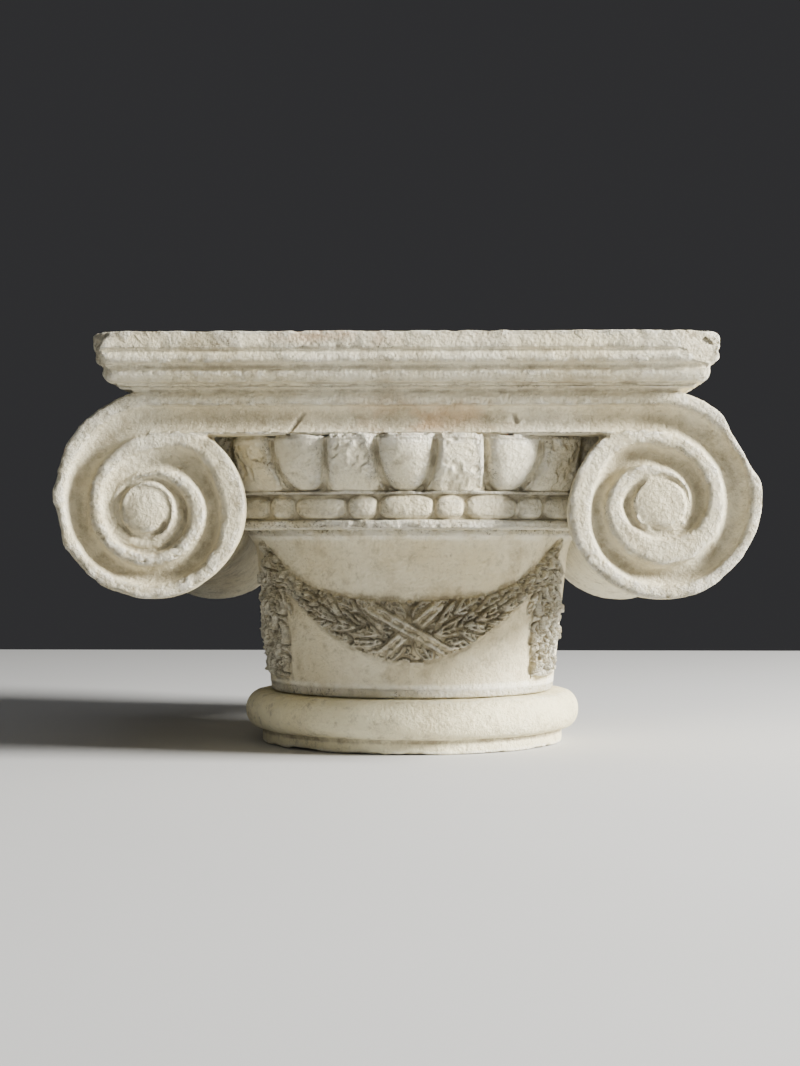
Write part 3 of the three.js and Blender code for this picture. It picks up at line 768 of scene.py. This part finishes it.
def weather(thing, spacing, spared=0.0):
    """Softens the carving, wears its edges, breaks its corners and pits its faces.
    spacing is the mesh's own step in millimetres, spared how much of a place keeps its detail."""
    mesh = thing.data
    pairs = neighbours_of(mesh)
    laps = 1 / spacing ** 2
    points = points_of(mesh)
    points += (smoothed(points, pairs, 1) - points) * np.reshape(1 - spared, (-1, 1))
    fresh = np.zeros(len(points))
    for k, (at, normal, rough) in enumerate(BREAKS):
        points, mark = broken(points, at, normal, rough, SEED + 20 + k)
        fresh = np.maximum(fresh, mark)
    set_points(mesh, points)
    normals = normals_of(mesh)
    wide = smoothed(points, pairs, round(8 * laps))
    edge = ((points - wide) * normals).sum(axis=1)
    patchy = 0.5 + 0.5 * np.clip(fractal(points, 22.0, 3, SEED + 1) * 1.4, -1, 1)
    nicks = np.clip(fractal(points, 5.0, 2, SEED + 2) - 0.2, 0, 1)
    worn = np.clip(edge - 0.1, 0, 1.5)
    inward = worn * (0.35 + 0.8 * patchy + 2.4 * nicks)
    fascia = smooth_step(TOP - 9, TOP - 7.5, points[:, 2]) * smooth_step(0.3, 0.8, patchy)
    rough = np.clip(np.clip(edge * 2.4, 0, 0.9) + 0.7 * fascia + fresh, 0, 1)
    inward += 0.12 * fractal(points, 14.0, 2, SEED + 3)
    inward += (0.06 + 0.62 * rough) * fractal(points, 4.6, 3, SEED + 4)
    pits = np.clip(noise(points, 2.4, SEED + 5) - 0.74, 0, 1) * 3.0
    inward += pits * (0.2 + patchy) * (0.4 + rough)
    inward = inward * (1 - spared) + marked(points)
    points = points - normals * inward[:, None]
    set_points(mesh, kept_inside(points))
    store(mesh, "fresh", rough)
    return pairs


def kept_inside(points):
    return np.clip(points, low + 0.01, high - 0.01)


def store(mesh, name, values):
    layer = mesh.attributes.get(name) or mesh.attributes.new(name, "FLOAT", "POINT")
    layer.data.foreach_set("value", np.asarray(values, dtype=np.float32))


def mark_relief(mesh, pairs, spacing, carving=0.0):
    """Keeps how hollow and how proud each place is, for the dirt and painted shade in the hollows and the
    worn edges.
    """
    points = points_of(mesh)
    normals = normals_of(mesh)
    laps = 1 / spacing ** 2
    close = ((points - smoothed(points, pairs, round(5 * laps))) * normals).sum(axis=1)
    broad = ((points - smoothed(points, pairs, round(40 * laps))) * normals).sum(axis=1)
    hollow = np.clip(-close * 2.4, 0, 1) + np.clip(-broad * 0.6, 0, 1)
    proud = np.clip(close * 2.4, 0, 1) + np.clip(broad * 0.25, 0, 1)
    store(mesh, "hollow", np.clip(hollow + np.clip(carving - 0.6, 0, 2) * 0.5, 0, 1.5))
    store(mesh, "proud", np.clip(proud, 0, 1.5))


def mark_stains(mesh, garland=0.0):
    """Keeps where the peach stains lie on the front, by x and z, and where the garlands lie, for their brown
    dirt and the painted shade in their deep recesses.
    """
    points = points_of(mesh)
    x, y, z = points.T
    front = smooth_step(-100, -125, y)
    fascia = np.exp(-((x + 25) / 45) ** 2) * smooth_step(199, 205, z) * front
    channel = np.exp(-((x - 8) / 42) ** 2) * np.exp(-((z - 167) / 8) ** 2) * front
    store(mesh, "stain", fascia + 0.9 * channel)
    store(mesh, "garland", np.zeros(len(points)) + garland)


def smooth_shaded(thing):
    thing.data.polygons.foreach_set("use_smooth", [True] * len(thing.data.polygons))
    return thing


def block():
    """Abacus, channel and volutes, as one block."""
    left = volute(-1, LEFT_VOLUTE, LEFT_CHIPS)
    right = volute(1, RIGHT_VOLUTE, RIGHT_CHIPS)
    thing = object_of("carved_capital", [abacus(), canalis(), left, right, drum()])
    outward(thing)
    remesh = thing.modifiers.new("one_block", "REMESH")
    remesh.mode = "VOXEL"
    remesh.voxel_size = VOXEL * MM
    apply_modifiers(thing)
    pairs = weather(thing, VOXEL)
    mark_relief(thing.data, pairs, VOXEL)
    thin = thing.modifiers.new("thin", "DECIMATE")
    thin.ratio = min(1.0, BLOCK_TRIANGLES / (2 * len(thing.data.polygons)))
    apply_modifiers(thing)
    set_points(thing.data, kept_inside(points_of(thing.data)))
    mark_stains(thing.data)
    return smooth_shaded(thing)


def echinus():
    """The eggs and beads of the front and of the back."""
    thing = object_of("egg_and_bead_courses", [echinus_slab(0), echinus_slab(180)])
    outward(thing)
    pairs = weather(thing, GRID_STEP, np.full(len(thing.data.vertices), EGGS_SPARED))
    mark_relief(thing.data, pairs, GRID_STEP)
    mark_stains(thing.data)
    return smooth_shaded(thing)


def garlanded_neck():
    skin, depth, garland = neck()
    thing = object_of("garlanded_neck", [skin])
    outward(thing)
    foot = smooth_step(BED + 5, BED + 3, points_of(thing.data)[:, 2])
    spared = np.maximum(GARLAND_SPARED * garland, FOOT_SPARED * foot)
    pairs = weather(thing, GRID_STEP, spared)
    mark_relief(thing.data, pairs, GRID_STEP, depth)
    mark_stains(thing.data, garland)
    return smooth_shaded(thing)


def base_moulding():
    """The turned base: a torus over a low fillet, nicked along its foot."""
    fillet = BASE_FILLET_RADIUS
    profile = [(r, 0.0) for r in np.linspace(8, fillet - 0.6, 26)]
    profile += [(fillet, z) for z in np.linspace(0.6, BASE_FILLET_HEIGHT - 0.4, 8)]
    bulge = TORUS_RADIUS - fillet - 1.2
    profile += swelling((fillet + 1.5, BASE_FILLET_HEIGHT), (fillet, BASE_TOP), bulge, 34)
    profile += [(r, BASE_TOP) for r in np.linspace(fillet - 1.5, 8, 22)]
    thing = object_of("turned_base_moulding", [closed_grid(turned(profile, 420))])
    outward(thing)
    mesh = thing.data
    pairs = neighbours_of(mesh)
    points = smoothed(points_of(mesh), pairs, 2)
    set_points(mesh, points)
    normals = normals_of(mesh)
    edge = ((points - smoothed(points, pairs, 8)) * normals).sum(axis=1)
    inward = 0.25 + 0.2 * fractal(points, 18.0, 3, SEED + 40) + 0.06 * fractal(points, 3.0, 2, SEED + 41)
    inward += np.clip(edge - 0.05, 0, 1) * np.clip(fractal(points, 6.0, 2, SEED + 42), 0, 1) * 1.5
    foot = smooth_step(5, 1, points[:, 2])
    chips = np.clip(noise(points, 12.0, SEED + 43) - 0.62, 0, 1) * 3
    inward += foot * chips * smooth_step(70, 80, np.hypot(points[:, 0], points[:, 1]))
    points = points - normals * inward[:, None]
    points[:, 2] = np.clip(points[:, 2], 0, BASE_TOP)
    set_points(mesh, points)
    mark_relief(mesh, pairs, BASE_STEP)
    mark_stains(mesh)
    store(mesh, "fresh", np.zeros(len(points)))
    return smooth_shaded(thing)


# Materials

class Nodes:
    """A short way to write a material's nodes."""

    def __init__(self, name):
        self.material = bpy.data.materials.new(name)
        self.material.use_nodes = True
        self.tree = self.material.node_tree
        self.shader = self.tree.nodes["Principled BSDF"]

    def node(self, kind, **settings):
        made = self.tree.nodes.new(kind)
        for key, value in settings.items():
            setattr(made, key, value)
        return made

    def link(self, source, target):
        self.tree.links.new(source, target)

    def value(self, source, target):
        if isinstance(source, (int, float)):
            target.default_value = source
        else:
            self.link(source, target)

    def attribute(self, name):
        return self.node("ShaderNodeAttribute", attribute_name=name).outputs["Fac"]

    def noise(self, scale, detail=4.0, rough=0.55, distort=0.0):
        place = self.node("ShaderNodeTexCoord").outputs["Object"]
        made = self.node("ShaderNodeTexNoise")
        made.inputs["Scale"].default_value = scale
        made.inputs["Detail"].default_value = detail
        made.inputs["Roughness"].default_value = rough
        made.inputs["Distortion"].default_value = distort
        self.link(place, made.inputs["Vector"])
        return made.outputs["Fac"]

    def cells(self, scale):
        place = self.node("ShaderNodeTexCoord").outputs["Object"]
        made = self.node("ShaderNodeTexVoronoi")
        made.inputs["Scale"].default_value = scale
        self.link(place, made.inputs["Vector"])
        return made

    def math(self, operation, first, second=0.0, clamp=False):
        made = self.node("ShaderNodeMath", operation=operation, use_clamp=clamp)
        self.value(first, made.inputs[0])
        self.value(second, made.inputs[1])
        return made.outputs[0]

    def span(self, source, from_low, from_high, to_low=0.0, to_high=1.0):
        made = self.node("ShaderNodeMapRange", interpolation_type="SMOOTHSTEP")
        self.value(source, made.inputs["Value"])
        numbers = (from_low, from_high, to_low, to_high)
        for key, number in zip(("From Min", "From Max", "To Min", "To Max"), numbers):
            made.inputs[key].default_value = number
        return made.outputs["Result"]

    def mix(self, share, first, second):
        made = self.node("ShaderNodeMix", data_type="RGBA")
        self.value(share, made.inputs["Factor"])
        for source, target in ((first, made.inputs[6]), (second, made.inputs[7])):
            if isinstance(source, tuple):
                target.default_value = (*source, 1.0)
            else:
                self.link(source, target)
        return made.outputs[2]


# The brown in the hollows and its share stand for dirt and painted shade together.
STONE = {
    "pale": (0.83, 0.77, 0.58),
    "warm": (0.72, 0.64, 0.43),
    "hollow_dirt_and_shade": (0.19, 0.155, 0.095),
    "roughness": (0.62, 0.92),
    "dirt_and_shade_share": 0.68,
    "mottle": 0.6,
}
CREAM = {
    "pale": (0.90, 0.835, 0.58),
    "warm": (0.83, 0.745, 0.47),
    "hollow_dirt_and_shade": (0.26, 0.21, 0.13),
    "roughness": (0.5, 0.75),
    "dirt_and_shade_share": 0.8,
    "mottle": 0.2,
}
TAN = (0.42, 0.345, 0.205)
FLECK = (0.34, 0.29, 0.185)
PEACH = (0.66, 0.42, 0.22)
SOOT = (0.42, 0.345, 0.22)
# Near-black brown for the painted shade and dirt in the garlands' deep recesses.
RECESS_SHADE_AND_DIRT = (0.115, 0.092, 0.058)
WORN_EDGE = (0.93, 0.885, 0.735)
GRIT = (0.21, 0.17, 0.10)
SPECK = (0.13, 0.105, 0.07)


def marble(name, look):
    """Weathered marble: warm clouding, peach stains, dirt and painted shade in the hollows, painted shade in
    the garlands' deep recesses and bright worn edges.
    """
    n = Nodes(name)
    colour = n.mix(n.span(n.noise(14, 5, 0.6), 0.36, 0.64), look["pale"], look["warm"])
    tan = n.math("MULTIPLY", n.span(n.noise(42, 7, 0.68), 0.47, 0.70), look["mottle"])
    colour = n.mix(tan, colour, TAN)
    fleck = n.noise(160, 6, 0.7)
    colour = n.mix(n.span(fleck, 0.5, 0.72, 0, 0.6), colour, FLECK)
    stain = n.math("MULTIPLY", n.attribute("stain"), n.span(n.noise(38, 5, 0.6), 0.38, 0.62))
    colour = n.mix(n.math("MULTIPLY", stain, 0.8, True), colour, PEACH)
    # Dirt and painted shade: brown darkening in close and broad hollows. The broad part stands in for the
    # shade the hollows would get.
    hollow = n.attribute("hollow")
    patch = n.span(n.noise(95, 8, 0.72), 0.36, 0.62)
    thick = n.math("ADD", n.math("MULTIPLY", patch, 0.75), 0.3)
    dust_and_shade = n.math("MULTIPLY", n.span(hollow, 0.08, 0.9), thick)
    garland = n.attribute("garland")
    dust_and_shade = n.math("MULTIPLY", dust_and_shade, n.math("SUBTRACT", 1.0, n.math("MULTIPLY", garland, 0.6)))
    colour = n.mix(n.math("MULTIPLY", dust_and_shade, look["dirt_and_shade_share"], True), colour, look["hollow_dirt_and_shade"])
    soot = n.math("MULTIPLY", garland, n.span(n.noise(75, 6, 0.7), 0.25, 0.75, 0.05, 0.3), True)
    colour = n.mix(soot, colour, SOOT)
    # Painted shade with some dirt: the garlands' deep recesses are darkened in patches to a near-black brown.
    deep = n.math("MULTIPLY", garland, n.span(hollow, 0.35, 1.2), True)
    clear = n.span(n.noise(120, 7, 0.72), 0.36, 0.62, 0.6, 0.02)
    colour = n.mix(n.math("MULTIPLY", deep, clear, True), colour, RECESS_SHADE_AND_DIRT)
    proud = n.attribute("proud")
    bright = n.math("MULTIPLY", n.span(proud, 0.15, 0.8), n.span(n.noise(90, 4, 0.6), 0.3, 0.6))
    colour = n.mix(n.math("MULTIPLY", bright, 0.8, True), colour, WORN_EDGE)
    rough = n.attribute("fresh")
    gritty = n.math("ADD", n.math("MULTIPLY", rough, 0.9), 0.3)
    zone = n.math("MULTIPLY", n.span(n.noise(48, 5, 0.65), 0.42, 0.62), gritty)
    grit = n.math("MULTIPLY", n.span(n.noise(620, 4, 0.8), 0.5, 0.64), zone, True)
    colour = n.mix(n.math("MULTIPLY", grit, 0.9, True), colour, GRIT)
    speck = n.span(n.cells(420).outputs["Distance"], 0.05, 0.17, 1.0, 0.0)
    speck = n.math("MULTIPLY", speck, n.span(n.noise(30, 4, 0.6), 0.5, 0.68))
    colour = n.mix(n.math("MULTIPLY", speck, 0.6, True), colour, SPECK)
    n.link(colour, n.shader.inputs["Base Color"])
    n.link(n.span(n.noise(220, 5, 0.6), 0.3, 0.7, *look["roughness"]), n.shader.inputs["Roughness"])
    n.shader.inputs["Specular IOR Level"].default_value = 0.35
    n.shader.inputs["Subsurface Weight"].default_value = 0.08
    n.shader.inputs["Subsurface Radius"].default_value = (1.0, 0.8, 0.6)
    n.shader.inputs["Subsurface Scale"].default_value = 0.0015
    fine_grain = n.math("MULTIPLY", n.noise(650, 4, 0.7), 0.5)
    grain = n.math("ADD", fine_grain, n.math("MULTIPLY", n.noise(260, 5, 0.6), 0.8))
    crystal = n.math("ADD", n.cells(520).outputs["Distance"], n.math("MULTIPLY", n.noise(300, 5, 0.8), 3.4))
    grain = n.math("ADD", grain, n.math("MULTIPLY", crystal, n.math("ADD", 0.15, rough)))
    bump = n.node("ShaderNodeBump")
    bump.inputs["Strength"].default_value = 0.85
    bump.inputs["Distance"].default_value = 0.0022
    n.link(grain, bump.inputs["Height"])
    n.link(bump.outputs["Normal"], n.shader.inputs["Normal"])
    return n.material


def floor_material():
    n = Nodes("pale_floor")
    n.link(n.mix(n.noise(3, 3), (0.47, 0.47, 0.465), (0.51, 0.51, 0.505)), n.shader.inputs["Base Color"])
    n.shader.inputs["Roughness"].default_value = 0.75
    return n.material


# Stage, light and camera

def floor():
    """A pale table top that ends behind the capital, as a plain surface."""
    wide, near, far = 2.2, -1.6, 0.86
    mesh = bpy.data.meshes.new("floor")
    corners = [(-wide, near, 0), (wide, near, 0), (wide, far, 0), (-wide, far, 0)]
    mesh.from_pydata(corners, [], [(0, 1, 2, 3)])
    thing = bpy.data.objects.new("floor", mesh)
    bpy.context.scene.collection.objects.link(thing)
    mesh.materials.append(floor_material())


def area_light(name, place, aim, size, power, colour):
    data = bpy.data.lights.new(name, "AREA")
    data.shape = "RECTANGLE"
    data.size, data.size_y = size
    data.energy = power
    data.color = colour
    lamp = bpy.data.objects.new(name, data)
    lamp.location = place
    lamp.rotation_euler = (Vector(aim) - Vector(place)).to_track_quat("-Z", "Y").to_euler()
    bpy.context.scene.collection.objects.link(lamp)


def lights():
    area_light("window", (1.66, -0.5, 0.82), (0, 0, 0.1), (0.45, 0.45), 196, (1.0, 0.985, 0.95))
    area_light("fill", (-0.5, -1.7, 0.7), (0, 0, 0.12), (1.6, 1.2), 3.2, (0.97, 0.98, 1.0))
    area_light("top", (0.2, -0.1, 1.7), (0, 0, 0.2), (1.0, 1.0), 3, (1.0, 1.0, 1.0))
    world = bpy.data.worlds.new("studio")
    world.use_nodes = True
    world.node_tree.nodes["Background"].inputs["Color"].default_value = (0.035, 0.035, 0.037, 1)
    world.node_tree.nodes["Background"].inputs["Strength"].default_value = 1.0
    bpy.context.scene.world = world


def camera():
    """Level with the neck's garland and a little to the right of the front."""
    focal_pixels, frame_width, frame_height = 1950, 800, 1066
    horizon_row, axis_column = 540, 412
    distance, eye_height, yaw = 1.065, 0.1088, math.radians(1.7)
    data = bpy.data.cameras.new("camera")
    data.sensor_width = 36
    data.lens = focal_pixels / frame_height * data.sensor_width
    data.shift_y = (horizon_row - frame_height / 2) / frame_height
    data.clip_start, data.clip_end = 0.05, 20
    aside = -(axis_column - frame_width / 2) / focal_pixels * distance
    eye = bpy.data.objects.new("camera", data)
    eye.location = (math.cos(yaw) * aside + math.sin(yaw) * distance,
                    math.sin(yaw) * aside - math.cos(yaw) * distance, eye_height)
    eye.rotation_euler = (math.pi / 2, 0, yaw)
    bpy.context.scene.collection.objects.link(eye)
    bpy.context.scene.camera = eye


def finish_piece(piece, node, material):
    piece.data.materials.clear()
    piece.data.materials.append(material)
    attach(piece, "root")
    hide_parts(node)


stone = marble("weathered_marble", STONE)
cream = marble("cream_marble", CREAM)
for piece in (block(), echinus(), garlanded_neck()):
    finish_piece(piece, "capital", stone)
finish_piece(base_moulding(), "base_moulding", cream)
floor()
lights()
camera()
